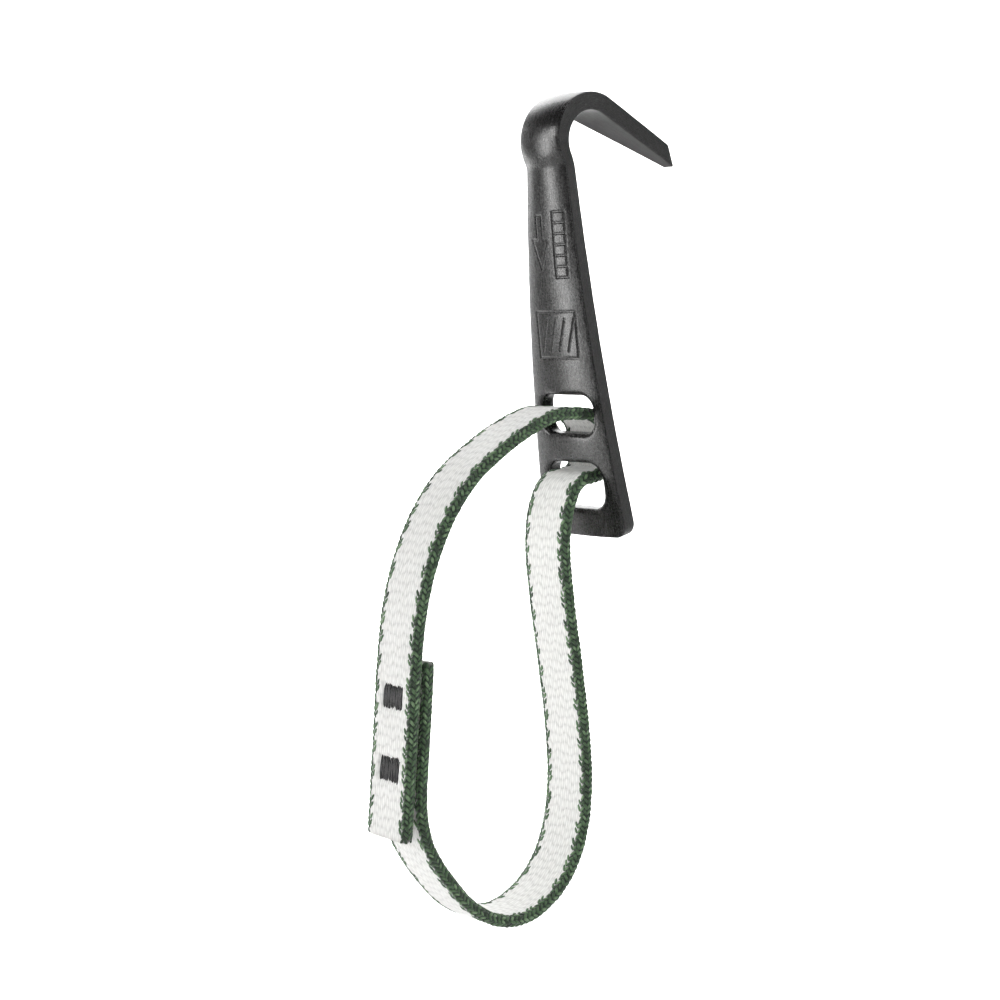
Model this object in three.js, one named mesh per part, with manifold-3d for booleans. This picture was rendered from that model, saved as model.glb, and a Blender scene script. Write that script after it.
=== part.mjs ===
// A hanging hook for aid climbing: a bent steel plate with a narrow beak and two slots,
// and a short loop of flat webbing that is threaded through the slots and closed by two bar tacks.
//
// Millimetres, +Z up. X runs across the plate, -Y is its outer side, and the beak reaches towards +Y.
// The shapes are laid out from the middle of the plate's lower end, and the whole model is then
// moved so that its origin is the middle of the flat end of the beak, which the hook hangs by.

import * as THREE from 'three';
import { mergeVertices } from 'three/addons/utils/BufferGeometryUtils.js';
import Module from 'manifold-3d';

const wasm = await Module();
wasm.setup();

const DEGREE = Math.PI / 180;

// ---------- Driving dimensions ----------

const PLATE_THICKNESS = 3.5;
const FOOT_WIDTH = 24.3;
const FOOT_CORNER_RADIUS = 2.8;
const NECK_WIDTH = 11;
const BEAK_WIDTH = 3.1;

// Radius of the plate's cross-section, which is rounded on the outside.
const FOOT_SECTION_RADIUS = 65;
const NECK_SECTION_RADIUS = 16;
const BEAK_SECTION_RADIUS = 65;

// The middle line of the plate, from its lower end to the tip: a gently bowed shank,
// a small kink outwards, the bend over the top, and the straight beak.
const SHANK_LEAN = -6.8 * DEGREE;
const SHANK_LENGTH = 71.5;
const KINK_RADIUS = 5.5;
const KINK_TURN = -22.3 * DEGREE;
const BEND_RADIUS = 8.1;
const BEND_TURN = 138.8 * DEGREE;
const BEAK_LENGTH = 24.9;
const BEAK_BEVEL = 3.2;

// Slots: distance of the lower edge from the plate's lower end, height, width, corner radius.
const LOWER_SLOT = { low: 5.6, height: 9.2, width: 15.4, corner: 3.4 };
const UPPER_SLOT = { low: 20.6, height: 7.6, width: 14.6, corner: 2.8 };

const WEBBING_WIDTH = 12;
const WEBBING_THICKNESS = 2.6;
const GAP = 0.3;

// The loop swings on the bar between the slots. Its two strands start on a circle round that axis.
const SWING_RADIUS = 8.5;

const TACK_SIZE = { across: 6.2, along: 4.8, pad: 0.45 };
const TACK_POST_RADIUS = 0.45;
const TACK_POST_SPACING = 3;

// ---------- Solids ----------

function toSolid(geometry) {
  const bare = geometry.clone();
  bare.deleteAttribute('normal');
  bare.deleteAttribute('uv');
  const merged = mergeVertices(bare, 1e-4);
  return new wasm.Manifold(new wasm.Mesh({
    numProp: 3,
    vertProperties: new Float32Array(merged.attributes.position.array),
    triVerts: new Uint32Array(merged.index.array),
  }));
}

function toGeometry(solid) {
  const mesh = solid.getMesh();
  const geometry = new THREE.BufferGeometry();
  geometry.setAttribute('position', new THREE.BufferAttribute(new Float32Array(mesh.vertProperties), 3));
  geometry.setIndex(new THREE.BufferAttribute(new Uint32Array(mesh.triVerts), 1));
  geometry.computeVertexNormals();
  return geometry;
}

// Turns a shape drawn in (Y, Z) into a prism of the given width along X, centred on X = 0.
function prismAcross(shape, width) {
  const geometry = new THREE.ExtrudeGeometry(shape, { depth: width, bevelEnabled: false, curveSegments: 8 });
  geometry.translate(0, 0, -width / 2);
  const toYZ = new THREE.Matrix4().makeBasis(
    new THREE.Vector3(0, 1, 0),
    new THREE.Vector3(0, 0, 1),
    new THREE.Vector3(1, 0, 0),
  );
  return geometry.applyMatrix4(toYZ);
}

// ---------- Middle line and section of the plate ----------

const RUNS = [
  { length: SHANK_LENGTH, turn: -SHANK_LEAN },
  { length: KINK_RADIUS * Math.abs(KINK_TURN), turn: KINK_TURN },
  { length: BEND_RADIUS * BEND_TURN, turn: BEND_TURN },
  { length: BEAK_LENGTH, turn: 0 },
];
const MARKS = RUNS.reduce((ends, run) => [...ends, ends.at(-1) + run.length], [0]);
const [, SHANK_END, KINK_END, BEND_END, BEAK_END] = MARKS;

// Place and direction of the middle line at a distance from the lower end.
// The angle is measured from +Z towards +Y.
function middleLine(distance) {
  let y = 0;
  let z = 0;
  let angle = SHANK_LEAN;
  let left = distance;
  for (const run of RUNS) {
    const step = Math.min(left, run.length);
    const curvature = run.turn / run.length;
    if (curvature === 0) {
      y += step * Math.sin(angle);
      z += step * Math.cos(angle);
    } else {
      const next = angle + curvature * step;
      y += (Math.cos(angle) - Math.cos(next)) / curvature;
      z += (Math.sin(next) - Math.sin(angle)) / curvature;
      angle = next;
    }
    left -= step;
    if (left <= 0) break;
  }
  return { y, z, angle };
}

function between(value, stops) {
  const last = stops.at(-1);
  if (value >= last[0]) return last[1];
  const after = stops.findIndex(([at]) => at > value);
  const [a, low] = stops[after - 1];
  const [b, high] = stops[after];
  return THREE.MathUtils.mapLinear(value, a, b, low, high);
}

function halfWidth(distance) {
  const full = between(distance, [
    [0, FOOT_WIDTH / 2],
    [(SHANK_END + KINK_END) / 2, NECK_WIDTH / 2],
    [BEND_END, NECK_WIDTH / 2],
    [BEAK_END, BEAK_WIDTH / 2],
  ]);
  const inCorner = Math.max(FOOT_CORNER_RADIUS - distance, 0);
  return full - FOOT_CORNER_RADIUS + Math.sqrt(FOOT_CORNER_RADIUS ** 2 - inCorner ** 2);
}

function sectionRadius(distance) {
  return between(distance, [
    [0, FOOT_SECTION_RADIUS],
    [SHANK_END, NECK_SECTION_RADIUS],
    [KINK_END, NECK_SECTION_RADIUS],
    [BEND_END, BEAK_SECTION_RADIUS],
  ]);
}

// A point of the plate: across from -1 to 1, and depth from the middle line towards the outer side.
function platePoint(across, distance, depth) {
  const { y, z, angle } = middleLine(distance);
  const radius = sectionRadius(distance);
  const sweep = across * halfWidth(distance) / radius;
  const rise = (radius + depth) * Math.cos(sweep) - radius;
  return new THREE.Vector3(
    (radius + depth) * Math.sin(sweep),
    y - rise * Math.cos(angle),
    z + rise * Math.sin(angle),
  );
}

function evenStops(from, to, count) {
  return Array.from({ length: count }, (_, i) => THREE.MathUtils.lerp(from, to, (i + 1) / count));
}

const CORNER_STOPS = [0.08, 0.2, 0.4, 0.7, 1].map((part) => part * FOOT_CORNER_RADIUS);
const PLATE_STOPS = [
  0,
  ...CORNER_STOPS,
  ...evenStops(FOOT_CORNER_RADIUS, SHANK_END, 16),
  ...evenStops(SHANK_END, KINK_END, 3),
  ...evenStops(KINK_END, BEND_END, 16),
  ...evenStops(BEND_END, BEAK_END, 5),
];
const PLATE_STEPS_ACROSS = 8;

function bentPlate() {
  const geometry = new THREE.BoxGeometry(2, 2, 1, PLATE_STEPS_ACROSS, 1, PLATE_STOPS.length - 1);
  const position = geometry.attributes.position;
  for (let i = 0; i < position.count; i += 1) {
    const row = Math.round((position.getZ(i) + 0.5) * (PLATE_STOPS.length - 1));
    const depth = -position.getY(i) * PLATE_THICKNESS / 2;
    const point = platePoint(position.getX(i), PLATE_STOPS[row], depth);
    position.setXYZ(i, point.x, point.y, point.z);
  }
  return toSolid(geometry);
}

// ---------- Slots and the end of the beak ----------

function roundedRectangle(width, height, corner) {
  const x = width / 2;
  const y = height / 2;
  const shape = new THREE.Shape();
  shape.moveTo(-x + corner, -y);
  shape.absarc(x - corner, -y + corner, corner, -Math.PI / 2, 0, false);
  shape.absarc(x - corner, y - corner, corner, 0, Math.PI / 2, false);
  shape.absarc(-x + corner, y - corner, corner, Math.PI / 2, Math.PI, false);
  shape.absarc(-x + corner, -y + corner, corner, Math.PI, Math.PI * 1.5, false);
  return shape;
}

function slotCutter(slot) {
  const depth = PLATE_THICKNESS * 4;
  const shape = roundedRectangle(slot.width, slot.height, slot.corner);
  const geometry = new THREE.ExtrudeGeometry(shape, { depth, bevelEnabled: false, curveSegments: 6 });
  const { y, z, angle } = middleLine(slot.low + slot.height / 2);
  geometry.translate(0, 0, -depth / 2);
  geometry.rotateX(Math.PI / 2 - angle);
  geometry.translate(0, y, z);
  return toSolid(geometry);
}

// The beak's end is cut off along a plane that leaves its underside longer than its top.
const BEAK_TOP_EDGE = platePoint(0, BEAK_END - BEAK_BEVEL, PLATE_THICKNESS / 2);
const BEAK_TIP_EDGE = platePoint(0, BEAK_END, -PLATE_THICKNESS / 2);
const ORIGIN = BEAK_TOP_EDGE.clone().add(BEAK_TIP_EDGE).multiplyScalar(0.5);

function beakEndCutter() {
  const size = PLATE_THICKNESS * 4;
  const geometry = new THREE.BoxGeometry(size, size, size);
  geometry.translate(0, size / 2, 0);
  geometry.rotateX(Math.atan2(BEAK_TIP_EDGE.y - BEAK_TOP_EDGE.y, BEAK_TOP_EDGE.z - BEAK_TIP_EDGE.z));
  geometry.translate(ORIGIN.x, ORIGIN.y, ORIGIN.z);
  return toSolid(geometry);
}

function hookPlateGeometry() {
  const plate = bentPlate()
    .subtract(slotCutter(LOWER_SLOT))
    .subtract(slotCutter(UPPER_SLOT))
    .subtract(beakEndCutter());
  return toGeometry(plate);
}

// ---------- Webbing ----------

const BAR_MIDDLE = middleLine((LOWER_SLOT.low + LOWER_SLOT.height + UPPER_SLOT.low) / 2);

// The sewn stretch, where the two strands run side by side in a straight, slightly leaning line.
const SEAM_TOP = new THREE.Vector2(-48.2, -18.5);
const SEAM_LEAN = 8.8 * DEGREE;
const STRAND_SPACING = WEBBING_THICKNESS + GAP;

// A point beside the sewn stretch at a height, inward of the front strand's middle line.
function seamPoint(height, inward) {
  const y = SEAM_TOP.x + (height - SEAM_TOP.y) * Math.tan(SEAM_LEAN);
  return [y + inward * Math.cos(SEAM_LEAN), height - inward * Math.sin(SEAM_LEAN)];
}

// Routes of the webbing's middle line, as (Y, Z). Together they are one strip: it starts at the
// cut end of the front strand, climbs to the upper slot, passes down behind the bar, comes out of
// the lower slot, hangs round the loop and ends behind the front strand, where it is sewn to it.
const BIGHT_ROUTE = [
  [-9.6, 25],
  [-6.3, 24.8],
  [-3, 24.4],
  [-0.2, 23.6],
  [1.7, 21.4],
  [2.4, 18],
  [2.5, 15],
  [1.2, 12.6],
  [-1.4, 11.9],
  [-4.2, 11.7],
  [-6.5, 10.4],
  [-8.2, 7.8],
];
const FRONT_ROUTE = [
  [-3, 24.4],
  [-6.3, 24.8],
  [-9.6, 25],
  [-17, 23],
  [-24.6, 19.6],
  [-31.8, 15.2],
  [-38.3, 8.3],
  [-43.1, 0],
  [-46.3, -9],
  seamPoint(-18.5, 0),
  seamPoint(-28.5, 0),
  seamPoint(-38.5, 0),
  seamPoint(-49.7, 0),
];
const BACK_ROUTE = [
  seamPoint(-16.6, STRAND_SPACING),
  seamPoint(-24, STRAND_SPACING),
  seamPoint(-32, STRAND_SPACING),
  seamPoint(-40, STRAND_SPACING),
  [-49, -45.5],
  [-48.3, -50.5],
  [-46.5, -54.9],
  [-43.4, -59.9],
  [-38.5, -66],
  [-32.4, -70.1],
  [-26, -71.2],
  [-19.5, -69.2],
  [-14, -64.6],
  [-10.4, -58],
  [-8.4, -49],
  [-8.2, -38],
  [-9, -25],
  [-10.1, -12],
  [-10.4, -1],
  [-9.4, 5],
  [-8.2, 7.8],
  [-6.5, 10.4],
  [-4.2, 11.7],
];

function curveAlong(route) {
  const points = route.map(([y, z]) => new THREE.Vector3(y, z, 0));
  return new THREE.CatmullRomCurve3(points, false, 'centripetal');
}

function ribbon(route, steps) {
  const curve = curveAlong(route);
  const sides = [[], []];
  for (let i = 0; i <= steps; i += 1) {
    const point = curve.getPointAt(i / steps);
    const tangent = curve.getTangentAt(i / steps);
    [1, -1].forEach((sign, k) => {
      const offset = sign * WEBBING_THICKNESS / 2;
      sides[k].push(new THREE.Vector2(point.x - tangent.y * offset, point.y + tangent.x * offset));
    });
  }
  const outline = new THREE.Shape([...sides[0], ...sides[1].reverse()]);
  return toSolid(prismAcross(outline, WEBBING_WIDTH));
}

function swingCylinder(radius) {
  const geometry = new THREE.CylinderGeometry(radius, radius, WEBBING_WIDTH * 2, 64);
  geometry.rotateZ(Math.PI / 2);
  geometry.translate(0, BAR_MIDDLE.y, BAR_MIDDLE.z);
  return toSolid(geometry);
}

// ---------- Bar tacks ----------

// Heights of the tacks' middles on the sewn stretch.
const TACK_HEIGHTS = { bar_tack_upper: -23.6, bar_tack_lower: -36.9 };

function placeTack(geometry, height) {
  const [y, z] = seamPoint(height, STRAND_SPACING / 2);
  geometry.rotateX(-SEAM_LEAN);
  return toSolid(geometry.translate(0, y, z));
}

function tackPosts(height, radius, reach) {
  const spots = [-1, 1].flatMap((x) => [-1, 1].map((z) => [x * TACK_POST_SPACING / 2, z]));
  return spots
    .map(([x, z]) => {
      const post = new THREE.CylinderGeometry(radius, radius, reach * 2, 8);
      post.translate(x, 0, z * TACK_SIZE.along / 4);
      return placeTack(post, height);
    })
    .reduce((all, post) => all.add(post));
}

function tackGeometry(height) {
  const inner = STRAND_SPACING / 2 + WEBBING_THICKNESS / 2 + GAP;
  const reach = inner + TACK_SIZE.pad;
  const pads = [-1, 1].map((side) => {
    const pad = new THREE.BoxGeometry(TACK_SIZE.across, TACK_SIZE.pad, TACK_SIZE.along);
    pad.translate(0, side * (inner + TACK_SIZE.pad / 2), 0);
    return placeTack(pad, height);
  });
  const posts = tackPosts(height, TACK_POST_RADIUS, reach - TACK_SIZE.pad / 2);
  return toGeometry(posts.add(pads[0]).add(pads[1]));
}

const TACK_HOLES = Object.values(TACK_HEIGHTS)
  .map((height) => tackPosts(height, TACK_POST_RADIUS + GAP, STRAND_SPACING * 2))
  .reduce((all, holes) => all.add(holes));

function strandGeometry(route, steps) {
  const strand = ribbon(route, steps)
    .subtract(swingCylinder(SWING_RADIUS + GAP / 2))
    .subtract(TACK_HOLES);
  return toGeometry(strand);
}

function bightGeometry() {
  return toGeometry(ribbon(BIGHT_ROUTE, 40).intersect(swingCylinder(SWING_RADIUS - GAP / 2)));
}

// ---------- Assembly ----------

const blackSteel = new THREE.MeshStandardMaterial({ color: 0x1d1d1f, roughness: 0.38, metalness: 0.8 });
const webbing = new THREE.MeshStandardMaterial({ color: 0xd9dad2, roughness: 0.9, metalness: 0 });
const thread = new THREE.MeshStandardMaterial({ color: 0x1c1c1e, roughness: 0.85, metalness: 0 });

function namedMesh(name, geometry, material) {
  const mesh = new THREE.Mesh(geometry, material);
  mesh.name = name;
  return mesh;
}

const assembly = new THREE.Group();
assembly.position.copy(ORIGIN).negate();
assembly.add(
  namedMesh('hook_plate', hookPlateGeometry(), blackSteel),
  namedMesh('sling_bight', bightGeometry(), webbing.clone()),
  namedMesh('sling_front_strand', strandGeometry(FRONT_ROUTE, 44), webbing.clone()),
  namedMesh('sling_back_strand', strandGeometry(BACK_ROUTE, 84), webbing.clone()),
);
for (const [name, height] of Object.entries(TACK_HEIGHTS)) {
  assembly.add(namedMesh(name, tackGeometry(height), thread.clone()));
}

const hangingHook = new THREE.Group();
hangingHook.add(assembly);

export default hangingHook;
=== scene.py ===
import math

import bmesh
import bpy
import numpy as np
from mathutils import Matrix, Vector
from mathutils.geometry import delaunay_2d_cdt


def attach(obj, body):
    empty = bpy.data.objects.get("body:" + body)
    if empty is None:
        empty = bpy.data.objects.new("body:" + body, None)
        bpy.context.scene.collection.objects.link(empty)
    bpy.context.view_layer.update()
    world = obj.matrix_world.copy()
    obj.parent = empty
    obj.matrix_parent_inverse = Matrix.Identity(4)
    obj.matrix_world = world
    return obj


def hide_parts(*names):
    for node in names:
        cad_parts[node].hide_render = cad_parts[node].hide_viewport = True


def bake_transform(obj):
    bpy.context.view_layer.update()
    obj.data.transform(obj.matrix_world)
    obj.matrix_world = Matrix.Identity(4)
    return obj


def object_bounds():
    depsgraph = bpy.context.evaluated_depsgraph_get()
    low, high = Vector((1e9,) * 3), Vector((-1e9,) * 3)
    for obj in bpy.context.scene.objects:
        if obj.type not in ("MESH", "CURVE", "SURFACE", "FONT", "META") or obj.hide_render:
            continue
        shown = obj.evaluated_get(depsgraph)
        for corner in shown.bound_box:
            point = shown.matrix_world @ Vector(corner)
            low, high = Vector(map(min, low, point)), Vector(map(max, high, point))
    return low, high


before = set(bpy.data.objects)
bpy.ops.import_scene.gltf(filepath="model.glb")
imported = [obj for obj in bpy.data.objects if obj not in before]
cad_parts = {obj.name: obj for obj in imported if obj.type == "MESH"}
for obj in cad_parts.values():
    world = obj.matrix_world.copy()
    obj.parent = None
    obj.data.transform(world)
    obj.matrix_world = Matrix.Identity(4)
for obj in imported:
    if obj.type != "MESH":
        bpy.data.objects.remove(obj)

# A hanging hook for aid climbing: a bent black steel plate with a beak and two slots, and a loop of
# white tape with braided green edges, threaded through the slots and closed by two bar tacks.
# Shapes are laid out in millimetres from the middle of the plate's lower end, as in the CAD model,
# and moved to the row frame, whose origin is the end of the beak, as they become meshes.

CAD_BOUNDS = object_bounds()
MM = 0.001

# ---------- Driving dimensions, the same as the CAD model's ----------

PLATE_THICKNESS = 3.5
FOOT_WIDTH = 24.3
FOOT_CORNER_RADIUS = 2.8
NECK_WIDTH = 11.0
BEAK_WIDTH = 3.1
FOOT_SECTION_RADIUS = 65.0
NECK_SECTION_RADIUS = 16.0
BEAK_SECTION_RADIUS = 65.0
SHANK_LEAN = math.radians(-6.8)
SHANK_LENGTH = 71.5
KINK_RADIUS = 5.5
KINK_TURN = math.radians(-22.3)
BEND_RADIUS = 8.1
BEND_TURN = math.radians(138.8)
BEAK_LENGTH = 24.9
BEAK_BEVEL = 3.2
LOWER_SLOT = {"low": 5.6, "height": 9.2, "width": 15.4, "corner": 3.4}
UPPER_SLOT = {"low": 20.6, "height": 7.6, "width": 14.6, "corner": 2.8}
WEBBING_THICKNESS = 2.6
STRAND_SPACING = WEBBING_THICKNESS + 0.3

# ---------- Dimensions of the fine shapes ----------

OUTER_EDGE_ROUND = 0.38
SLOT_EDGE_ROUND = 0.95
TIP_CORNER_RADIUS = 0.55
GRID_STEP = 0.8
MARK_GRID_STEP = 0.14
MARK_WIDTH = 0.5
MARK_DEPTH = 0.2
TAPE_THICKNESS = 2.2
TAPE_STEP = 0.25
TAPE_COLUMNS = 64
YARN_PITCH = 0.62
PICK_PITCH = 1.45
RIPPLE_PITCH = 1.9


# ---------- Middle line and section of the plate ----------

RUNS = [
    (SHANK_LENGTH, -SHANK_LEAN),
    (KINK_RADIUS * abs(KINK_TURN), KINK_TURN),
    (BEND_RADIUS * BEND_TURN, BEND_TURN),
    (BEAK_LENGTH, 0.0),
]
SHANK_END, KINK_END, BEND_END, BEAK_END = np.cumsum([length for length, _ in RUNS])


def middle_line(distance):
    """(y, z, angle) of the plate's middle line, the angle from +Z towards +Y."""
    y = z = 0.0
    angle = SHANK_LEAN
    left = distance
    for length, turn in RUNS:
        step = min(left, length)
        curvature = turn / length
        if curvature == 0:
            y += step * math.sin(angle)
            z += step * math.cos(angle)
        else:
            after = angle + curvature * step
            y += (math.cos(angle) - math.cos(after)) / curvature
            z += (math.sin(after) - math.sin(angle)) / curvature
            angle = after
        left -= step
        if left <= 0:
            break
    return y, z, angle


LINE_STOPS = np.linspace(0, BEAK_END, 4000)
LINE_TABLE = np.array([middle_line(s) for s in LINE_STOPS])


def full_half_width(distance):
    return np.interp(
        distance,
        [0, (SHANK_END + KINK_END) / 2, BEND_END, BEAK_END],
        [FOOT_WIDTH / 2, NECK_WIDTH / 2, NECK_WIDTH / 2, BEAK_WIDTH / 2],
    )


def section_radius(distance):
    return np.interp(
        distance,
        [0, SHANK_END, KINK_END, BEND_END],
        [FOOT_SECTION_RADIUS, NECK_SECTION_RADIUS, NECK_SECTION_RADIUS, BEAK_SECTION_RADIUS],
    )


def plate_points(across, distance, depth):
    """Points of the plate in millimetres: arc across the section, distance along the middle line,
    and depth from the middle towards the outer side."""
    past_bend = np.clip((distance - BEND_END) / BEAK_LENGTH, 0, 1)
    distance = distance - past_bend * BEAK_BEVEL * np.clip(depth / PLATE_THICKNESS + 0.5, 0, 1)
    y, z, angle = (np.interp(distance, LINE_STOPS, column) for column in LINE_TABLE.T)
    radius = section_radius(distance)
    sweep = across / radius
    rise = (radius + depth) * np.cos(sweep) - radius
    section_x = (radius + depth) * np.sin(sweep)
    return np.stack([section_x, y - rise * np.cos(angle), z + rise * np.sin(angle)], -1)


TIP_EDGES = plate_points(np.zeros(2), np.full(2, BEAK_END), np.array([0.5, -0.5]) * PLATE_THICKNESS)
ORIGIN = TIP_EDGES.mean(0)


def to_row(points):
    return (np.asarray(points, float) - ORIGIN) * MM


# ---------- Mesh helpers ----------

def new_mesh(name, points, faces, material, smooth=True):
    """A mesh object from points in millimetres."""
    mesh = bpy.data.meshes.new(name)
    mesh.from_pydata(to_row(points).tolist(), [], faces)
    mesh.materials.append(material)
    mesh.polygons.foreach_set("use_smooth", np.full(len(mesh.polygons), smooth))
    mesh.update()
    piece = bpy.data.objects.new(name, mesh)
    bpy.context.scene.collection.objects.link(piece)
    return piece


def band(start, count):
    """Four-sided faces between one ring of points, which begins at start, and the next ring."""
    return [
        (start + k, start + (k + 1) % count, start + count + (k + 1) % count, start + count + k)
        for k in range(count)
    ]


def face_outwards(piece):
    shape = bmesh.new()
    shape.from_mesh(piece.data)
    bmesh.ops.recalc_face_normals(shape, faces=shape.faces)
    shape.to_mesh(piece.data)
    shape.free()


def point_value(piece, name, values):
    attribute = piece.data.attributes.new(name, "FLOAT", "POINT")
    attribute.data.foreach_set("value", np.asarray(values, np.float32))


def point_vector(piece, name, values):
    attribute = piece.data.attributes.new(name, "FLOAT_VECTOR", "POINT")
    attribute.data.foreach_set("vector", np.asarray(values, np.float32).ravel())


def smooth_step(low, high, value):
    t = np.clip((value - low) / (high - low), 0, 1)
    return t * t * (3 - 2 * t)


def waves(points, seed, scale):
    """Smooth noise from about -1 to 1: a few sine waves in seeded directions."""
    source = np.random.default_rng(seed)
    total = np.zeros(len(points))
    for _ in range(6):
        direction = source.normal(size=points.shape[1])
        total += np.sin(points @ direction / scale + source.uniform(0, 2 * math.pi))
    return total / 3


# ---------- Material helpers ----------

class Material:
    """A node material around one Principled shader, with short calls for its nodes."""

    def __init__(self, name, **settings):
        self.material = bpy.data.materials.new(name)
        self.material.use_nodes = True
        self.nodes = self.material.node_tree.nodes
        self.links = self.material.node_tree.links
        self.shader = self.nodes["Principled BSDF"]
        for socket, value in settings.items():
            self.shader.inputs[socket.replace("_", " ")].default_value = value

    def node(self, kind, inputs=None, **settings):
        made = self.nodes.new(kind)
        for key, value in settings.items():
            setattr(made, key, value)
        for key, value in (inputs or {}).items():
            if isinstance(value, bpy.types.NodeSocket):
                self.links.new(value, made.inputs[key])
            else:
                made.inputs[key].default_value = value
        return made

    def attribute(self, name):
        return self.node("ShaderNodeAttribute", attribute_name=name)

    def stretched(self, vector, scale):
        return self.node("ShaderNodeMapping", {"Vector": vector, "Scale": scale}).outputs["Vector"]

    def noise(self, vector, scale, detail=3.0, roughness=0.5):
        inputs = {"Vector": vector, "Scale": scale, "Detail": detail, "Roughness": roughness}
        return self.node("ShaderNodeTexNoise", inputs).outputs["Fac"]

    def ramp(self, value, stops):
        made = self.node("ShaderNodeValToRGB", {"Fac": value})
        elements = made.color_ramp.elements
        while len(elements) < len(stops):
            elements.new(0.5)
        for element, (place, colour) in zip(elements, stops):
            element.position = place
            element.color = (*colour, 1) if len(colour) == 3 else colour
        return made.outputs["Color"]

    def to_range(self, value, low, high, to_low, to_high):
        inputs = {"Value": value, "From Min": low, "From Max": high, "To Min": to_low, "To Max": to_high}
        return self.node("ShaderNodeMapRange", inputs).outputs["Result"]

    def math(self, operation, a, b):
        return self.node("ShaderNodeMath", {0: a, 1: b}, operation=operation).outputs["Value"]

    def mix(self, factor, a, b, blend_type="MIX"):
        made = self.node("ShaderNodeMix", data_type="RGBA", blend_type=blend_type)
        for socket, value in zip((made.inputs[0], made.inputs[6], made.inputs[7]), (factor, a, b)):
            if isinstance(value, bpy.types.NodeSocket):
                self.links.new(value, socket)
            else:
                socket.default_value = value
        return made.outputs[2]

    def bump(self, height, distance, strength=1.0, normal=None):
        inputs = {"Height": height, "Distance": distance * MM, "Strength": strength}
        if normal is not None:
            inputs["Normal"] = normal
        return self.node("ShaderNodeBump", inputs).outputs["Normal"]

    def set(self, socket, value):
        self.links.new(value, self.shader.inputs[socket])


def grey(value):
    return (value, value, value)


# ---------- Materials ----------

def steel_face_material():
    """The rolled faces: semi-gloss black finish, finely mottled, with faint drag marks along the plate, and a
    painted highlight along its outer sides and engraved marks.
    """
    m = Material("black_steel_face", Metallic=0.85)
    flat = m.attribute("flat_mm").outputs["Vector"]
    mottle = m.noise(flat, 2.4, 4.0, 0.65)
    cloud = m.noise(flat, 0.35, 3.0)
    drag = m.noise(m.stretched(flat, (5.0, 0.35, 5.0)), 1.0, 3.0)
    rim_highlight = m.attribute("rim").outputs["Fac"]
    tone = m.ramp(mottle, [(0.3, grey(0.024)), (0.55, grey(0.036)), (0.75, grey(0.055))])
    tone = m.mix(m.to_range(cloud, 0.3, 0.7, 0.0, 0.35), tone, (0.033, 0.032, 0.031, 1))
    # Painted highlight: lighter grey along the plate's outer sides and on the sloping walls of the engraved
    # marks.
    tone = m.mix(m.to_range(rim_highlight, 0.2, 1.0, 0.0, 0.45), tone, (0.085, 0.085, 0.085, 1))
    m.set("Base Color", tone)
    distance = m.node("ShaderNodeSeparateXYZ", {"Vector": flat}).outputs["Y"]
    polish = m.to_range(m.math("ADD", mottle, drag), 0.6, 1.4, 0.20, 0.34)
    m.set("Roughness", m.math("ADD", polish, m.to_range(distance, 84.0, 97.0, 0.0, 0.45)))
    fine = m.bump(mottle, 0.035, 0.6)
    m.set("Normal", m.bump(drag, 0.02, 0.5, fine))
    return m.material


def steel_edge_material():
    """The cut edges: duller and coarser, with a lengthwise grain."""
    m = Material("black_steel_edge", Metallic=0.7)
    flat = m.attribute("flat_mm").outputs["Vector"]
    grain = m.noise(m.stretched(flat, (2.0, 0.8, 4.5)), 1.3, 5.0, 0.7)
    pits = m.noise(flat, 3.2, 3.0, 0.7)
    tone = m.ramp(grain, [(0.3, grey(0.020)), (0.55, grey(0.038)), (0.78, grey(0.075))])
    m.set("Base Color", m.mix(m.to_range(pits, 0.55, 0.8, 0.0, 0.5), tone, (0.10, 0.10, 0.10, 1)))
    m.set("Roughness", m.to_range(grain, 0.3, 0.7, 0.42, 0.6))
    coarse = m.bump(grain, 0.12, 0.7)
    m.set("Normal", m.bump(pits, 0.06, 0.6, coarse))
    return m.material


def tape_material():
    """White warp-faced weave with painted shade in its valleys, and dark green under the braided edges,
    painted near-black as shade between the loops.
    """
    m = Material("white_tape", Roughness=0.85)
    m.shader.inputs["Sheen Weight"].default_value = 0.25
    m.shader.inputs["Sheen Roughness"].default_value = 0.5
    strip = m.attribute("strip_mm").outputs["Vector"]
    relief = m.attribute("relief").outputs["Fac"]
    fibres = m.noise(m.stretched(strip, (9.0, 1.0, 9.0)), 1.6, 3.0)
    soil = m.noise(strip, 0.22, 3.0)
    # Painted shade: the weave's valleys, where relief is low, are painted darker grey.
    white = m.ramp(relief, [
        (0.0, (0.22, 0.22, 0.21)),
        (0.4, (0.55, 0.55, 0.535)),
        (0.85, (0.78, 0.78, 0.76)),
    ])
    white = m.mix(m.to_range(fibres, 0.35, 0.7, 0.25, 0.0), white, (0.55, 0.55, 0.53, 1))
    white = m.mix(m.to_range(soil, 0.45, 0.75, 0.0, 0.12), white, (0.66, 0.65, 0.60, 1))
    edge = m.attribute("edge").outputs["Fac"]
    melt = m.attribute("melt").outputs["Fac"]
    # Under the braided edges the tape takes the edge yarns' green, painted near-black as shade between the
    # loops.
    colour = m.mix(edge, white, (0.012, 0.024, 0.013, 1))
    colour = m.mix(m.to_range(melt, 0.0, 1.0, 0.0, 0.55), colour, (0.40, 0.39, 0.36, 1))
    m.set("Base Color", colour)
    m.set("Normal", m.bump(fibres, 0.05, 0.7))
    return m.material


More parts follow.
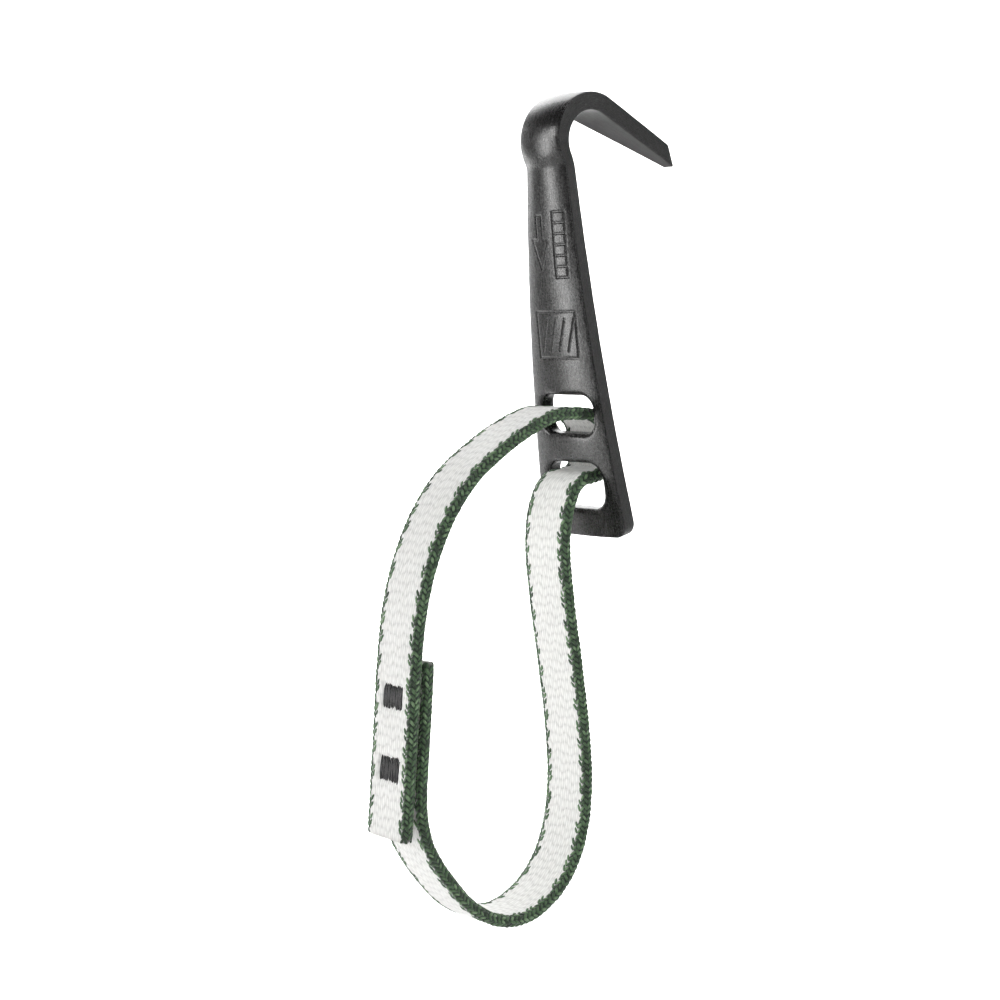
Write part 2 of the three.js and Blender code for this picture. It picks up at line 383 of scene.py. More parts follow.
def yarn_material():
    """Braided edge yarns, from near black through mid green to light green, with fine twisted fibres; the
    tone carries painted shade on the loops' undersides and ends.
    """
    m = Material("green_yarn", Roughness=0.62)
    m.shader.inputs["Sheen Weight"].default_value = 0.2
    m.shader.inputs["Sheen Roughness"].default_value = 0.45
    tone = m.attribute("tone").outputs["Fac"]
    strip = m.attribute("strip_mm").outputs["Vector"]
    fibres = m.noise(m.stretched(strip, (7.0, 2.5, 7.0)), 2.2, 2.0)
    colour = m.ramp(tone, [
        (0.0, (0.006, 0.010, 0.007)),
        (0.35, (0.022, 0.052, 0.020)),
        (0.65, (0.065, 0.135, 0.055)),
        (1.0, (0.210, 0.320, 0.170)),
    ])
    m.set("Base Color", m.mix(m.to_range(fibres, 0.4, 0.7, 0.0, 0.45), colour, (0.012, 0.02, 0.012, 1)))
    m.set("Normal", m.bump(fibres, 0.05, 0.8))
    return m.material


def thread_material():
    """Black bonded thread, a little shiny, with its twist showing and painted shade in the twist's grooves.
    """
    m = Material("black_thread", Roughness=0.5)
    m.shader.inputs["Sheen Weight"].default_value = 0.15
    along = m.attribute("thread_mm").outputs["Vector"]
    inputs = {"Vector": along, "Scale": 1.1, "Distortion": 0.6}
    twist = m.node("ShaderNodeTexWave", inputs, bands_direction="DIAGONAL")
    fuzz = m.noise(along, 3.0, 2.0)
    # Painted shade: the twist's grooves, low in the bump below, are painted darker; the fuzz noise adds
    # random tone.
    tone = m.ramp(m.math("MULTIPLY", twist.outputs["Fac"], fuzz), [(0.05, grey(0.004)), (0.5, grey(0.022))])
    m.set("Base Color", tone)
    m.set("Normal", m.bump(twist.outputs["Fac"], 0.03, 0.6))
    return m.material


# ---------- Hook plate: its outline, slots and marks on the flat, as (across, distance) ----------

def side_of_plate():
    """The right-hand side of the outline, from the foot's corner up to the middle of the tip."""
    turn = np.linspace(0, math.pi / 2, 12)
    low = FOOT_CORNER_RADIUS * (1 - np.cos(turn))
    points = [
        np.stack([full_half_width(low) - FOOT_CORNER_RADIUS * (1 - np.sin(turn)), low], 1),
    ]
    for start, end, step in [
        (FOOT_CORNER_RADIUS, SHANK_END, GRID_STEP),
        (SHANK_END, BEND_END, GRID_STEP / 2),
        (BEND_END, BEAK_END - TIP_CORNER_RADIUS, GRID_STEP),
    ]:
        stops = np.linspace(start, end, math.ceil((end - start) / step) + 1)[1:]
        points.append(np.stack([full_half_width(stops), stops], 1))
    turn = np.linspace(0, math.pi / 2, 6)[1:]
    centre = (full_half_width(BEAK_END) - TIP_CORNER_RADIUS, BEAK_END - TIP_CORNER_RADIUS)
    points.append(np.stack([np.cos(turn), np.sin(turn)], 1) * TIP_CORNER_RADIUS + centre)
    return np.concatenate(points)


def plate_outline():
    right = side_of_plate()
    left = right[::-1] * (-1, 1)
    foot = np.linspace(left[-1], right[0], 25)[1:-1]
    tip = np.linspace(right[-1], left[0], 5)[1:-1]
    return np.concatenate([right, tip, left, foot])


def rounded_rectangle(slot, grow=0.0, points_per_corner=12):
    """A slot's outline, anticlockwise, grown outwards by a distance."""
    corner = slot["corner"] + grow
    x = slot["width"] / 2 + grow - corner
    y = slot["height"] / 2 + grow - corner
    middle = slot["low"] + slot["height"] / 2
    loop = []
    for k, (cx, cy) in enumerate([(x, -y), (x, y), (-x, y), (-x, -y)]):
        turn = np.linspace((k - 1) * math.pi / 2, k * math.pi / 2, points_per_corner)
        arc = np.stack([cx + corner * np.cos(turn), middle + cy + corner * np.sin(turn)], 1)
        loop.append(arc)
    corners = np.concatenate(loop)
    return fill_long_gaps(corners, GRID_STEP)


def fill_long_gaps(loop, step):
    out = []
    for here, there in zip(loop, np.roll(loop, -1, 0)):
        count = max(1, math.ceil(np.linalg.norm(there - here) / step))
        out.extend(here + (there - here) * k / count for k in range(count))
    return np.array(out)


def outward_normals(loop):
    """Unit normals of an anticlockwise loop, pointing away from what it encloses."""
    along = np.roll(loop, -1, 0) - np.roll(loop, 1, 0)
    normal = np.stack([along[:, 1], -along[:, 0]], 1)
    return normal / np.linalg.norm(normal, axis=1, keepdims=True)


def strokes():
    """Engraved marks, as (start, end) segments: a load arrow, a row of rungs and a hatched panel."""
    arrow = [(-3.0, 63.2), (-3.0, 58.6), (-4.6, 58.6), (-2.2, 52.8), (0.2, 58.6), (-1.4, 58.6), (-1.4, 63.2)]
    lines = list(zip(arrow, arrow[1:] + arrow[:1]))
    for k in range(7):
        level = 51.2 + 2.1 * k
        lines.append(((1.7, level), (4.6, level)))
    lines += [((1.7, 51.2), (1.7, 63.8)), ((4.6, 51.2), (4.6, 63.8))]
    panel = [(-5.2, 35.6), (5.6, 35.6), (5.6, 44.6), (-5.2, 44.6)]
    lines += list(zip(panel, panel[1:] + panel[:1]))
    for k in range(4):
        left = -4.0 + 2.4 * k
        lines.append(((left, 37.0), (left + 2.0, 43.2)))
    return [(np.array(a), np.array(b)) for a, b in lines]


STROKES = strokes()


def distance_to_marks(points):
    nearest = np.full(len(points), 1e9)
    for a, b in STROKES:
        along = b - a
        part = np.clip((points - a) @ along / (along @ along), 0, 1)
        nearest = np.minimum(nearest, np.linalg.norm(points - a - part[:, None] * along, axis=1))
    return nearest


def inside(points, outline):
    """Even-odd test of points against a closed outline."""
    x, y = points[:, 0], points[:, 1]
    odd = np.zeros(len(points), bool)
    for (ax, ay), (bx, by) in zip(outline, np.roll(outline, -1, 0)):
        if ay == by:
            continue
        crosses = (ay > y) != (by > y)
        odd ^= crosses & (x < (bx - ax) * (y - ay) / (by - ay) + ax)
    return odd


def grid_points(step, low, high):
    columns = np.arange(low[0], high[0], step)
    rows = np.arange(low[1], high[1], step)
    x, y = np.meshgrid(columns, rows)
    x = x + (np.arange(len(rows))[:, None] % 2) * step / 2
    return np.stack([x.ravel(), y.ravel()], 1)


def clear_of(points, loops, gap):
    keep = np.ones(len(points), bool)
    for loop in loops:
        for start in range(0, len(points), 4000):
            part = points[start:start + 4000]
            apart = np.linalg.norm(part[:, None] - loop[None], axis=2).min(1)
            keep[start:start + 4000] &= apart > gap
    return points[keep]


def face_points(loops, marked):
    """Points that fill a face of the plate: an even grid, and a fine one along the engraved marks."""
    outline, *holes = loops
    half = FOOT_WIDTH / 2
    points = grid_points(GRID_STEP, (-half, 0), (half, BEAK_END))
    if marked:
        fine = grid_points(MARK_GRID_STEP, (-6.5, 34), (6.5, 65))
        fine = fine[distance_to_marks(fine) < MARK_WIDTH * 1.3]
        points = points[distance_to_marks(points) > MARK_WIDTH * 1.3 + GRID_STEP / 4]
    points = clear_of(points[inside(points, outline)], loops, GRID_STEP * 0.45)
    for hole in holes:
        points = points[~inside(points, hole)]
    return np.concatenate([points, fine]) if marked else points


def filled_face(loops, marked):
    """Triangles over a face. Returns its points, its triangles and, for each loop, its points' numbers."""
    given = np.concatenate([*loops, face_points(loops, marked)])
    edges = []
    start = 0
    for loop in loops:
        count = len(loop)
        edges += [(start + k, start + (k + 1) % count) for k in range(count)]
        start += count
    result = delaunay_2d_cdt([Vector(p) for p in given], edges, [], 0, 1e-5, True)
    points = np.array([tuple(p) for p in result[0]])
    triangles = np.array([tuple(f) for f in result[2]])
    middles = points[triangles].mean(1)
    keep = inside(middles, loops[0])
    for hole in loops[1:]:
        keep &= ~inside(middles, hole)
    number = {old: new for new, olds in enumerate(result[3]) for old in olds}
    rows = []
    start = 0
    for loop in loops:
        rows.append([number[start + k] for k in range(len(loop))])
        start += len(loop)
    return points, triangles[keep], rows


def edge_rings(wall, outward, rounding):
    """Rings of (across, distance, depth) from the front face's rim round the edge to the back face's."""
    half = PLATE_THICKNESS / 2
    base = wall - outward * rounding
    turn = np.linspace(0, math.pi / 2, 6)
    front = [(rounding * math.sin(t), half - rounding * (1 - math.cos(t))) for t in turn]
    flat = [(rounding, depth) for depth in np.linspace(half - rounding, rounding - half, 4)[1:-1]]
    back = [(reach, -depth) for reach, depth in reversed(front)]
    rings = front + flat + back
    return [np.column_stack([base + outward * reach, np.full(len(base), depth)]) for reach, depth in rings]


def engraved(points):
    cut = 1 - smooth_step(MARK_WIDTH * 0.18, MARK_WIDTH * 0.62, distance_to_marks(points))
    return MARK_DEPTH * cut


def build_hook_steel(face_material, edge_material):
    outline = plate_outline()
    slots = [rounded_rectangle(LOWER_SLOT), rounded_rectangle(UPPER_SLOT)]
    edges = [(outline, outward_normals(outline), OUTER_EDGE_ROUND)]
    edges += [(slot, -outward_normals(slot), SLOT_EDGE_ROUND) for slot in slots]
    loops = [wall - outward * rounding for wall, outward, rounding in edges]

    flat = []
    faces = []
    rims = []
    count = 0
    for side in (1, -1):
        points, triangles, rows = filled_face(loops, marked=side == 1)
        depth = np.full(len(points), side * PLATE_THICKNESS / 2)
        if side == 1:
            depth -= engraved(points)
        flat.append(np.column_stack([points, depth]))
        faces += (triangles + count).tolist()
        rims.append([[count + k for k in row] for row in rows])
        count += len(points)

    wall_faces = []
    for k, edge in enumerate(edges):
        rings = edge_rings(*edge)
        size = len(edge[0])
        numbers = [rims[0][k]]
        for ring in rings[1:-1]:
            flat.append(ring)
            numbers.append(list(range(count, count + size)))
            count += size
        numbers.append(rims[1][k])
        for level, (upper, lower) in enumerate(zip(numbers, numbers[1:])):
            quads = [(upper[i], upper[(i + 1) % size], lower[(i + 1) % size], lower[i]) for i in range(size)]
            if k == 0 and 3 <= level <= len(numbers) - 5:
                wall_faces += range(len(faces), len(faces) + size)
            faces += quads

    flat = np.concatenate(flat)
    points = plate_points(*flat.T)
    uneven = waves(flat, seed=3, scale=5.0) * 0.03
    points = points + np.column_stack([np.zeros(len(points)), -uneven, np.zeros(len(points))])
    piece = new_mesh("hook_steel", points, faces, face_material)
    piece.data.materials.append(edge_material)
    which = np.zeros(len(faces), np.int32)
    which[wall_faces] = 1
    piece.data.polygons.foreach_set("material_index", which)
    face_outwards(piece)
    point_vector(piece, "flat_mm", flat)
    # The rim value places a painted highlight: lighter grey along the plate's outer sides and on the sloping
    # walls of the engraved marks.
    rim = np.exp(-np.minimum(np.abs(np.abs(flat[:, 0]) - full_half_width(flat[:, 1])), 5) / 0.35)
    marks = engraved(flat[:, :2]) * (flat[:, 2] > 0) / MARK_DEPTH
    point_value(piece, "rim", np.maximum(rim, 4 * marks * (1 - marks)))
    weighted = piece.modifiers.new("even_shading", "WEIGHTED_NORMAL")
    weighted.keep_sharp = True
    return piece


# ---------- The tape's route ----------

SEAM_TOP = (-48.2, -18.5)
SEAM_LEAN = math.radians(8.8)


def seam_point(height, inward):
    """A point beside the sewn stretch at a height, inward of the front strand's middle line."""
    y = SEAM_TOP[0] + (height - SEAM_TOP[1]) * math.tan(SEAM_LEAN)
    return (y + inward * math.cos(SEAM_LEAN), height - inward * math.sin(SEAM_LEAN))


ROUTE = [
    seam_point(-49.7, 0), seam_point(-38.5, 0), seam_point(-28.5, 0), seam_point(-18.5, 0),
    (-46.3, -9), (-43.1, 0), (-38.3, 8.3), (-31.8, 15.2), (-24.6, 19.6), (-17, 23), (-9.6, 25),
    (-6.3, 24.8), (-3, 24.4), (-0.2, 23.6), (1.7, 21.4), (2.4, 18), (2.5, 15), (1.2, 12.6),
    (-1.4, 11.9), (-4.2, 11.7), (-6.5, 10.4), (-8.2, 7.8), (-9.4, 5), (-10.4, -1), (-10.1, -12),
    (-9, -25), (-8.2, -38), (-8.4, -49), (-10.4, -58), (-14, -64.6), (-19.5, -69.2), (-26, -71.2),
    (-32.4, -70.1), (-38.5, -66), (-43.4, -59.9), (-46.5, -54.9), (-48.3, -50.5), (-49, -45.5),
    seam_point(-40, STRAND_SPACING), seam_point(-32, STRAND_SPACING), seam_point(-24, STRAND_SPACING),
    seam_point(-16.6, STRAND_SPACING),
]


def spline(route, steps=40):
    """A centripetal Catmull-Rom curve through the points, closely sampled."""
    p = np.array(route, float)
    p = np.concatenate([[2 * p[0] - p[1]], p, [2 * p[-1] - p[-2]]])
    out = []
    for a, b, c, d in zip(p, p[1:], p[2:], p[3:]):
        t0 = 0.0
        t1 = t0 + np.linalg.norm(b - a) ** 0.5
        t2 = t1 + np.linalg.norm(c - b) ** 0.5
        t3 = t2 + np.linalg.norm(d - c) ** 0.5
        t = np.linspace(t1, t2, steps, endpoint=False)[:, None]
        ab = (t1 - t) / (t1 - t0) * a + (t - t0) / (t1 - t0) * b
        bc = (t2 - t) / (t2 - t1) * b + (t - t1) / (t2 - t1) * c
        cd = (t3 - t) / (t3 - t2) * c + (t - t2) / (t3 - t2) * d
        abc = (t2 - t) / (t2 - t0) * ab + (t - t0) / (t2 - t0) * bc
        bcd = (t3 - t) / (t3 - t1) * bc + (t - t1) / (t3 - t1) * cd
        out.append((t2 - t) / (t2 - t1) * abc + (t - t1) / (t2 - t1) * bcd)
    out.append(p[-2][None])
    return np.concatenate(out)


CURVE = spline(ROUTE)
CURVE_AT = np.concatenate([[0], np.cumsum(np.linalg.norm(np.diff(CURVE, axis=0), axis=1))])
TAPE_LENGTH = CURVE_AT[-1]


def strip_points(across, along, height):
    """Points of the tape: across its width, along its length from the front strand's end, and height
    from its middle towards the side that faces out of the loop."""
    y, z = (np.interp(along, CURVE_AT, column) for column in CURVE.T)
    ahead = [np.interp(along + 0.3, CURVE_AT, column) for column in CURVE.T]
    behind = [np.interp(along - 0.3, CURVE_AT, column) for column in CURVE.T]
    ty, tz = ahead[0] - behind[0], ahead[1] - behind[1]
    size = np.hypot(ty, tz)
    return np.stack([across, y - tz / size * height, z + ty / size * height], -1)


# ---------- Tape ----------

TACK_HEIGHTS = {"bar_tack_upper": -23.6, "bar_tack_lower": -36.9}
TACK_ACROSS = 5.4
TACK_ALONG = 4.4
TACK_SIDES = (1, -1)
BRAID_CENTRE = 5.0
BRAID_RADIUS = 1.0


def along_at_height(height):
    """Places along the tape where the front and back strands pass a height on the sewn stretch."""
    front = CURVE_AT < TAPE_LENGTH / 4
    back = CURVE_AT > TAPE_LENGTH * 3 / 4
    at_front = np.interp(height, CURVE[front][:, 1], CURVE_AT[front])
    rising = CURVE[back][:, 1]
    start = rising.argmin()
    at_back = np.interp(height - STRAND_SPACING * math.sin(SEAM_LEAN), rising[start:], CURVE_AT[back][start:])
    return at_front, at_back


def tack_dent(across, along):
    """How hard the stitches pull the tape in, from 0 to 1."""
    total = np.zeros_like(across)
    for height in TACK_HEIGHTS.values():
        for middle in along_at_height(height):
            near = 1 - smooth_step(TACK_ALONG / 2 - 0.4, TACK_ALONG / 2 + 0.9, np.abs(along - middle))
            total += near * (1 - smooth_step(TACK_ACROSS / 2 - 0.3, TACK_ACROSS / 2 + 0.9, np.abs(across)))
    return total


def weave(across, along):
    """Height of the weave from 0 to 1: lengthwise yarns that waver and ride over each other in turn."""
    wander = 0.10 * np.sin(along * 2 * math.pi / 5.8 + np.sin(across * 1.7)) + 0.05 * np.sin(along * 2.9)
    place = across / YARN_PITCH + wander
    column = np.floor(place)
    ridge = np.sqrt(np.maximum(np.sin((place - column) * math.pi), 0))
    lift = 0.5 + 0.5 * np.sin(along * math.pi / PICK_PITCH + column * math.pi + 0.4 * np.sin(column * 12.9))
    row = along / RIPPLE_PITCH + 0.16 * np.sin(across * 1.3 + along * 0.7) + 0.13 * np.sin(column * 7.7)
    ripple = np.sqrt(np.abs(np.sin(row * math.pi)))
    return ridge * (0.42 + 0.28 * lift) + 0.38 * ripple - 0.08


def melted(along):
    """1 at the tape's two heat-sealed ends, fading to 0 about 1.5 mm in."""
    return np.exp(-np.minimum(along, TAPE_LENGTH - along) / 0.55)


def build_webbing(material):
    """The tape itself: one closed strip, with its weave in the surface and rounded sides."""
    rows = math.ceil(TAPE_LENGTH / TAPE_STEP) + 1
    along = np.linspace(0, TAPE_LENGTH, rows)
    face = np.linspace(-BRAID_CENTRE, BRAID_CENTRE, TAPE_COLUMNS)
    turn = np.linspace(0, math.pi, 9)[1:-1]
    half = TAPE_THICKNESS / 2
    section = [(x, half, 1.0) for x in face]
    section += [(BRAID_CENTRE + half * math.sin(t), half * math.cos(t), 0.0) for t in turn]
    section += [(x, -half, -1.0) for x in face[::-1]]
    section += [(-BRAID_CENTRE - half * math.sin(t), -half * math.cos(t), 0.0) for t in turn]
    section = np.array(section)
    size = len(section)

    across = np.tile(section[:, 0], rows)
    base = np.tile(section[:, 1], rows)
    side = np.tile(section[:, 2], rows)
    length = np.repeat(along, size)
    relief = weave(across + 3.1 * (side < 0), length)
    in_white = 1 - smooth_step(4.2, 4.9, np.abs(across))
    swell = 0.03 * waves(np.stack([across * 0.6, length, side], 1), seed=11, scale=2.2)
    height = base + side * ((0.20 * relief - 0.09 + swell) * in_white - 0.42 * tack_dent(across, length))
    pinch = 1 - 0.12 * melted(length)
    points = strip_points(across * pinch, length, height * (1 - 0.25 * melted(length)))

    faces = []
    for r in range(rows - 1):
        here = r * size
        faces += band(here, size)
    faces.append(tuple(range(size)))
    faces.append(tuple(range((rows - 1) * size, rows * size)))
    piece = new_mesh("sling_webbing", points, faces, material)
    face_outwards(piece)
    point_value(piece, "relief", np.where(side == 0, 0.5, relief))
    # The edge value marks the tape under the braided edges, which the material paints near-black green as
    # shade between the loops.
    lobes = 0.30 * np.sin(length * 2 * math.pi / 2.3) + 0.22 * np.sin(length * 2 * math.pi / 3.7 + across)
    point_value(piece, "edge", smooth_step(-0.12, 0.12, np.abs(across) - 5.0 - lobes * 0.6))
    point_value(piece, "melt", melted(length))
    point_vector(piece, "strip_mm", np.stack([across, length, height], 1))
    return piece


# ---------- Braided edges ----------

LOOP_PITCH = 1.15
LOOP_COLUMNS = 7
LOOP_LENGTH = 1.5
LOOP_WIDTH = 0.62
LOOP_SLANT = math.radians(30)


def grain_template(sides=6, rings=6):
    """A closed grain of unit half-length along the second axis: its points and faces."""
    levels = np.linspace(0, math.pi, rings + 2)[1:-1]
    points = [(0, -1, 0)]
    for level in levels:
        for k in range(sides):
            turn = 2 * math.pi * k / sides
            reach = math.sin(level) ** 0.7
            points.append((reach * math.cos(turn), -math.cos(level), reach * math.sin(turn)))
    points.append((0, 1, 0))
    last = len(points) - 1
    faces = [(0, 1 + (k + 1) % sides, 1 + k) for k in range(sides)]
    for r in range(rings - 1):
        a = 1 + r * sides
        faces += band(a, sides)
    a = 1 + (rings - 1) * sides
    faces += [(last, a + k, a + (k + 1) % sides) for k in range(sides)]
    return np.array(points, float), np.array([f if len(f) == 4 else (*f, -1) for f in faces])


def braid_place(around):
    """(across, height) on the braided edge's rim, and its outward direction. around runs from -1 on
    the back face, through 0 at the side, to 1 on the front face."""
    quarter = BRAID_RADIUS * math.pi / 2
    reach = quarter + 0.38
    arc = np.abs(around) * reach
    turn = np.minimum(arc, quarter) / BRAID_RADIUS
    flat = np.maximum(arc - quarter, 0)
    sign = np.sign(around)
    across = BRAID_CENTRE + BRAID_RADIUS * np.cos(turn) - flat
    height = sign * BRAID_RADIUS * np.sin(turn)
    return across, height, np.cos(turn), sign * np.sin(turn)


def build_braid(name, mirror, seed, material):
    """One edge of the tape: slanting yarn loops in columns that pair up as chevrons."""
    source = np.random.default_rng(seed)
    count = int(TAPE_LENGTH / LOOP_PITCH)
    column, row = (grid.ravel() for grid in np.meshgrid(np.arange(LOOP_COLUMNS), np.arange(count)))
    total = len(column)
    around = (column / (LOOP_COLUMNS - 1)) * 2 - 1
    along = (row + 0.5 + 0.5 * (column // 2 % 2)) * LOOP_PITCH + source.normal(0, 0.05, total)
    outermost = np.abs(around) > 0.95
    lobe = 0.5 + 0.5 * np.sin(along * 2 * math.pi / 4.2 + 0.9 * np.sin(along / 3.1) + seed)
    keep = ~outermost | (lobe + source.normal(0, 0.06, total) > 0.4)
    keep &= (along > 0.5) & (along < TAPE_LENGTH - 0.5)
    column, around, along, outermost, lobe = (a[keep] for a in (column, around, along, outermost, lobe))
    total = len(column)
    around = around * (1 + outermost * 0.06 * lobe)
    slant = np.where(column % 2 == 0, LOOP_SLANT, -LOOP_SLANT) + source.normal(0, math.radians(7), total)
    size = 1 + source.normal(0, 0.09, total) + 0.25 * outermost * lobe
    melt = melted(along)

    across, height, nx, nh = braid_place(around + source.normal(0, 0.012, total))
    template, faces = grain_template()
    u = template[:, 0] * LOOP_WIDTH / 2
    v = template[:, 1] * LOOP_LENGTH / 2
    w = template[:, 2] * 0.27
    swing_u = np.cos(slant)[:, None] * u + np.sin(slant)[:, None] * v
    swing_v = -np.sin(slant)[:, None] * u + np.cos(slant)[:, None] * v
    bow = -0.10 * (template[:, 1] ** 2)
    lift = (w + bow)[None] * size[:, None] * (1 - 0.5 * melt)[:, None] + 0.02
    side = swing_u * size[:, None]
    sections = across[:, None] + nx[:, None] * lift - nh[:, None] * side
    heights = height[:, None] + nh[:, None] * lift + nx[:, None] * side
    lengths = np.clip(along[:, None] + swing_v * size[:, None], 0.02, TAPE_LENGTH - 0.02)
    sections = sections * (1 - 0.05 * melt)[:, None]
    sign = -1 if mirror else 1
    points = strip_points(sign * sections.ravel(), lengths.ravel(), heights.ravel())

    per = len(template)
    all_faces = []
    for k in range(total):
        all_faces += [tuple(int(i) + k * per for i in f if i >= 0) for f in faces]
    piece = new_mesh(name, points, all_faces, material)
    face_outwards(piece)
    colours = np.clip(source.choice([0.4, 0.62, 0.78, 0.98], total, p=[0.15, 0.35, 0.35, 0.15])
                      + source.normal(0, 0.07, total), 0, 1)
    colours *= 1 - 0.85 * smooth_step(0.25, 0.9, melt * 1.6)
    # Painted shade: each loop's tone is darkened on its underside, towards the tape, and at its tucked-in
    # ends, and kept light on its top.
    loop_shade = np.clip(0.55 + 0.45 * template[:, 2], 0, 1) * (1 - 0.75 * template[:, 1] ** 4)
    point_value(piece, "tone", (colours[:, None] * loop_shade[None]).ravel())
    point_vector(piece, "strip_mm", np.stack([sections.ravel(), lengths.ravel(), heights.ravel()], 1))
    return piece


# ---------- Bar tacks ----------

THREAD_RADIUS = 0.17


def tube(path, radius, sides=7):
    """A closed tube along a path of points: points, faces and each point's place along and round it."""
    path = np.asarray(path, float)
    tangent = np.gradient(path, axis=0)
    tangent /= np.linalg.norm(tangent, axis=1, keepdims=True)
    first = np.cross(tangent, [1.0, 0.0, 0.0])
    weak = np.linalg.norm(first, axis=1) < 1e-3
    first[weak] = [0.0, 0.0, 1.0]
    first /= np.linalg.norm(first, axis=1, keepdims=True)
    second = np.cross(tangent, first)
    turn = np.arange(sides) * 2 * math.pi / sides
    ring = np.cos(turn)[None, :, None] * first[:, None] + np.sin(turn)[None, :, None] * second[:, None]
    points = (path[:, None] + radius * ring).reshape(-1, 3)
    travelled = np.concatenate([[0], np.cumsum(np.linalg.norm(np.diff(path, axis=0), axis=1))])
    place = np.stack(np.broadcast_arrays(radius * turn[None, :], travelled[:, None], 0.0), -1).reshape(-1, 3)
    faces = []
    for r in range(len(path) - 1):
        a = r * sides
        faces += band(a, sides)
    faces.append(tuple(range(sides)))
    faces.append(tuple(range((len(path) - 1) * sides, len(path) * sides)))
    return points, faces, place


def tack_path(middle, side, source):
    """A zigzag of stitches over the strand: (across, along, height) for one face of one tack."""
    passes = 21
    out = []
    for k in range(passes):
        x = TACK_ACROSS * (k / (passes - 1) - 0.5) + source.normal(0, 0.07)
        reach = TACK_ALONG / 2 + source.normal(0, 0.38)
        up = 1 if k % 2 == 0 else -1
        lean = TACK_ACROSS / passes
        for t in np.linspace(-1, 1, 9):
            bulge = (1 - t ** 4) * 0.32
            out.append((x + lean * (t / 2 + 0.5), middle + up * t * reach, side * (bulge + 0.02)))
    return np.array(out)


def build_bar_tack(name, height, seed, material):
    source = np.random.default_rng(seed)
    points, faces, places = [], [], []
    count = 0
    sunk = TAPE_THICKNESS / 2 - 0.42
    for middle, side in zip(along_at_height(height), TACK_SIDES):
        path = tack_path(middle, side, source)
        path[:, 2] += side * sunk
        route = strip_points(path[:, 0], path[:, 1], path[:, 2])
        p, f, place = tube(route, THREAD_RADIUS)
        points.append(p)
        places.append(place)
        faces += [tuple(i + count for i in face) for face in f]
        count += len(p)
    piece = new_mesh(name, np.concatenate(points), faces, material)
    face_outwards(piece)
    point_vector(piece, "thread_mm", np.concatenate(places) * 4)
    return piece


# ---------- Camera, light and floor ----------

EYE = (301.4, -264.0, 61.3)
CAMERA_AZIMUTH = math.radians(51.19)
CAMERA_ELEVATION = math.radians(7.61)
CAMERA_ROLL = math.radians(3.66)
LENS = 73.3


def place_camera():
    a, e, r = CAMERA_AZIMUTH, CAMERA_ELEVATION, CAMERA_ROLL
    back = Vector((math.sin(a) * math.cos(e), -math.cos(a) * math.cos(e), math.sin(e)))
    level = Vector((math.cos(a), math.sin(a), 0))
    up = back.cross(level)
    right = math.cos(r) * level - math.sin(r) * up
    top = math.sin(r) * level + math.cos(r) * up
    camera = bpy.data.objects.new("camera", bpy.data.cameras.new("camera"))
    camera.data.lens = LENS
    camera.data.sensor_width = 36.0
    camera.data.clip_start = 0.01
    turn = Matrix((right, top, back)).transposed().to_4x4()
    camera.matrix_world = Matrix.Translation(Vector(to_row(EYE))) @ turn
    bpy.context.scene.collection.objects.link(camera)
    bpy.context.scene.camera = camera
    return right, top, back


def soft_light(name, place, target, size, power, spread=180):
    light = bpy.data.lights.new(name, "AREA")
    light.shape = "RECTANGLE"
    light.size, light.size_y = size
    light.energy = power
    light.spread = math.radians(spread)
    lamp = bpy.data.objects.new(name, light)
    lamp.location = place
    lamp.rotation_euler = (Vector(target) - Vector(place)).to_track_quat("-Z", "Y").to_euler()
    bpy.context.scene.collection.objects.link(lamp)


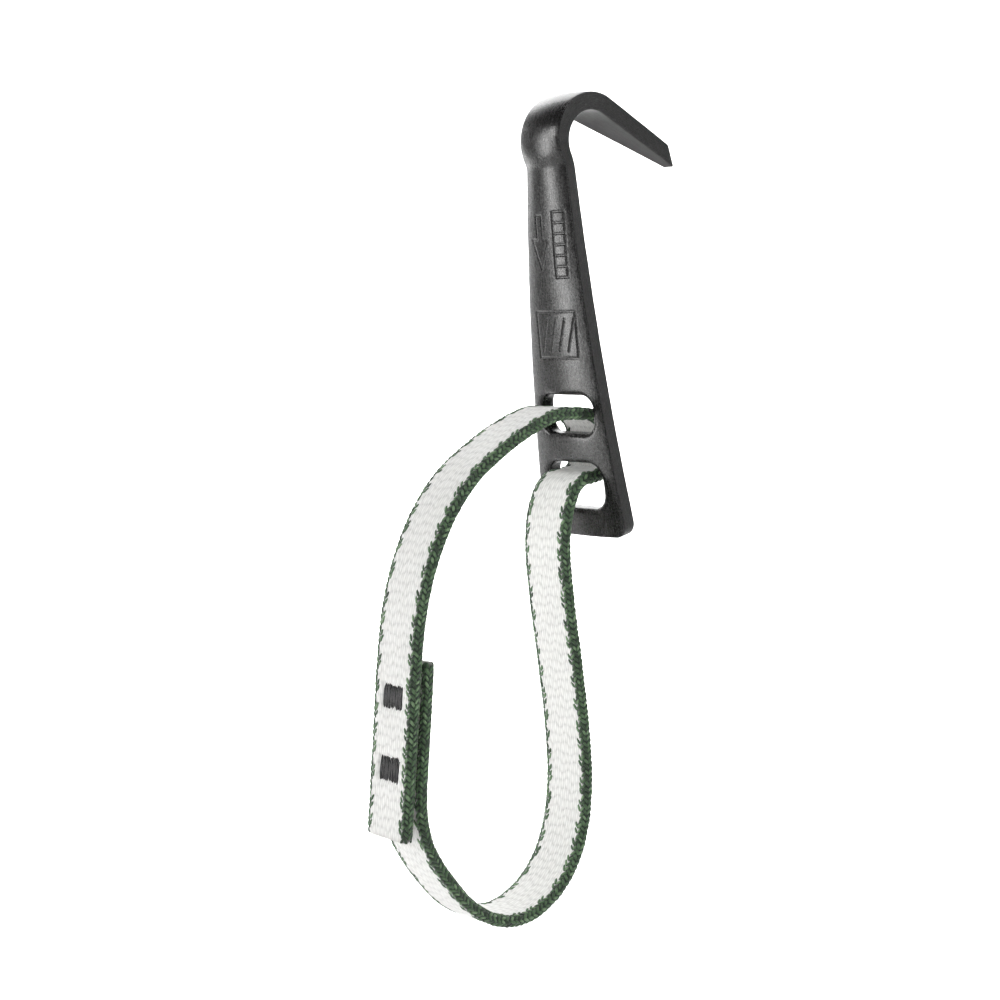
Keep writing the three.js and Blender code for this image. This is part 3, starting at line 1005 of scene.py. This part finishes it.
def build_floor():
    """A pale sweep: a floor below the object that curves up into a back wall behind it."""
    low = CAD_BOUNDS[0][2] - 0.10
    material = Material("studio_paper", Roughness=0.9)
    position = material.node("ShaderNodeNewGeometry").outputs["Position"]
    material.set("Base Color", material.ramp(
        material.noise(position, 3.0), [(0.3, grey(0.86)), (0.7, grey(0.9))]))
    width, near, far, rise, bend = 2.4, -1.2, 0.9, 1.8, 0.4
    profile = [(near, 0.0), (far - bend, 0.0)]
    for t in np.linspace(0, math.pi / 2, 16)[1:]:
        profile.append((far - bend + bend * math.sin(t), bend - bend * math.cos(t)))
    profile.append((far, rise))
    away = Vector((-math.sin(CAMERA_AZIMUTH), math.cos(CAMERA_AZIMUTH), 0))
    level = Vector((math.cos(CAMERA_AZIMUTH), math.sin(CAMERA_AZIMUTH), 0))
    points = []
    for reach, height in profile:
        for side in (-width, width):
            points.append(away * reach + level * side + Vector((0, 0, low + height)))
    mesh = bpy.data.meshes.new("studio_floor")
    mesh.from_pydata(points, [], [(2 * k, 2 * k + 1, 2 * k + 3, 2 * k + 2) for k in range(len(profile) - 1)])
    mesh.materials.append(material.material)
    mesh.polygons.foreach_set("use_smooth", np.ones(len(mesh.polygons), bool))
    floor = bpy.data.objects.new("studio_floor", mesh)
    bpy.context.scene.collection.objects.link(floor)


def set_world(strength):
    world = bpy.data.worlds.new("studio")
    world.use_nodes = True
    world.node_tree.nodes["Background"].inputs["Color"].default_value = (1, 1, 1, 1)
    world.node_tree.nodes["Background"].inputs["Strength"].default_value = strength
    bpy.context.scene.world = world


def light_studio(right, top, back):
    middle = Vector(to_row((0, -15, 15)))

    def around(side, height, towards):
        return middle + right * side + top * height + back * towards

    soft_light("left_box", around(-0.62, 0.06, 0.02), middle, (0.08, 0.5), 3.2)
    soft_light("key_right", around(0.75, 0.40, 0.42), middle, (0.4, 0.7), 5.2)
    soft_light("front_fill", around(-0.35, 0.1, 1.1), middle, (0.6, 0.6), 2.2)
    soft_light("rim_left", around(-0.42, 0.1, -0.36), middle, (0.06, 0.4), 0.6)
    soft_light("top_box", around(-0.1, 1.0, 0.25), middle, (0.6, 0.4), 2.6)
    soft_light("wall_wash", around(0.0, 1.1, -0.62), around(0, 0.0, -1.1), (1.4, 0.4), 27, spread=95)
    set_world(0.12)
    bpy.context.scene.view_settings.view_transform = "Standard"


# ---------- Assembly ----------

light_studio(*place_camera())
build_floor()

hook_steel = build_hook_steel(steel_face_material(), steel_edge_material())
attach(hook_steel, "hook")
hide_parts("hook_plate")

yarn = yarn_material()
webbing = build_webbing(tape_material())
braids = [
    build_braid("sling_edge_right", False, 21, yarn),
    build_braid("sling_edge_left", True, 22, yarn),
]
BAR_DISTANCE = (LOWER_SLOT["low"] + LOWER_SLOT["height"] + UPPER_SLOT["low"]) / 2
BAR_MIDDLE = Vector(to_row((0, *middle_line(BAR_DISTANCE)[:2])))
for piece in (webbing, *braids):
    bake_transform(piece)
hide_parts("sling_bight", "sling_front_strand", "sling_back_strand")

thread = thread_material()
for seed, (name, height) in enumerate(TACK_HEIGHTS.items()):
    tack = build_bar_tack(f"{name}_stitches", height, 31 + seed, thread)
    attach(tack, "sling")
    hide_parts(name)
